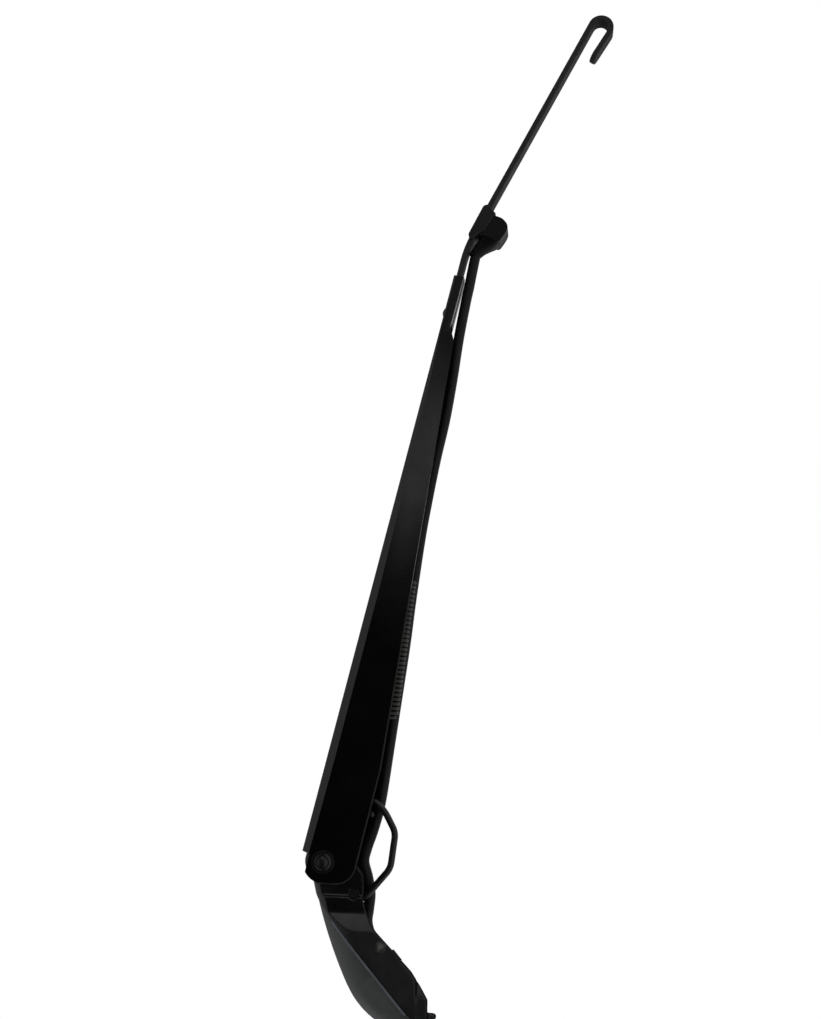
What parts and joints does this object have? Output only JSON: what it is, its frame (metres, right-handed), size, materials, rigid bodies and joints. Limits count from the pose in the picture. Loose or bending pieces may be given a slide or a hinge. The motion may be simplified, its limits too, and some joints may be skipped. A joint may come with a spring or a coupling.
{
  "type": "wiper arm",
  "caption": "Windscreen wiper arm with cast spindle head, sprung hinge, tapered pressed channel, washer hose with nozzle block and a flat rod ending in a J-hook.",
  "frame": {"origin": "centre of the spindle hole in the seat of the cast head, inside its skirt", "axes": "+Z along the spindle, outward from the car; +X along the arm from the spindle to the hook; +Y to the far side of the picture"},
  "size_m": [0.5584, 0.0352, 0.1633],
  "materials": {
    "cast_black": "satin black paint on a die casting",
    "cap_plastic": "dark grey moulded plastic",
    "pin_steel": "turned steel",
    "bush_plastic": "moulded bearing plastic",
    "hose_rubber": "matt black rubber",
    "black_plastic": "moulded black plastic",
    "black_paint": "satin black powder coat",
    "dark_steel": "blackened steel",
    "rod_paint": "satin black paint, rubbed on the lower face",
    "jet_brass": "turned brass",
    "spring_steel": "oiled spring steel",
    "link_steel": "blackened steel wire"
  },
  "bodies": {
    "head": {"arm_head": "cast_black", "spindle_cap": "cap_plastic", "link_pin": "pin_steel", "hinge_bush_near": "bush_plastic", "hinge_bush_far": "bush_plastic", "hose_tail": "hose_rubber", "feed_connector": "black_plastic"},
    "arm": {"channel": "black_paint", "hinge_pin": "dark_steel", "blade_rod": "rod_paint", "rod_rivet": "rod_paint", "spring_anchor_pin": "dark_steel", "washer_hose": "hose_rubber", "nozzle_clip": "black_plastic", "nozzle_body": "black_plastic", "jet_near": "jet_brass", "jet_far": "jet_brass", "hose_clip_front": "black_plastic", "hose_clip_mid": "black_plastic", "hose_clip_back": "black_plastic"},
    "spring": {"tension_spring": "spring_steel"},
    "link": {"spring_link": "link_steel"}
  },
  "joints": [
    {"name": "arm_lift", "type": "hinge", "parent": "head", "child": "arm", "pos_m": [0.067, 0, 0.047], "axis": [0, -1, 0], "range_deg": [0, 78]},
    {"name": "link_swing", "type": "hinge", "parent": "head", "child": "link", "pos_m": [0.0515, 0, 0.031], "axis": [0, -1, 0], "range_deg": [0, 70]},
    {"name": "spring_swing", "type": "hinge", "parent": "arm", "child": "spring", "pos_m": [0.2195, 0, 0.0115], "axis": [0, -1, 0], "range_deg": [-9, 0], "deforming": ["tension_spring"]}
  ],
  "couplings": [
    {"joint": "link_swing", "follows": "arm_lift", "ratio": 0.8866},
    {"joint": "spring_swing", "follows": "arm_lift", "ratio": -0.1134}
  ]
}
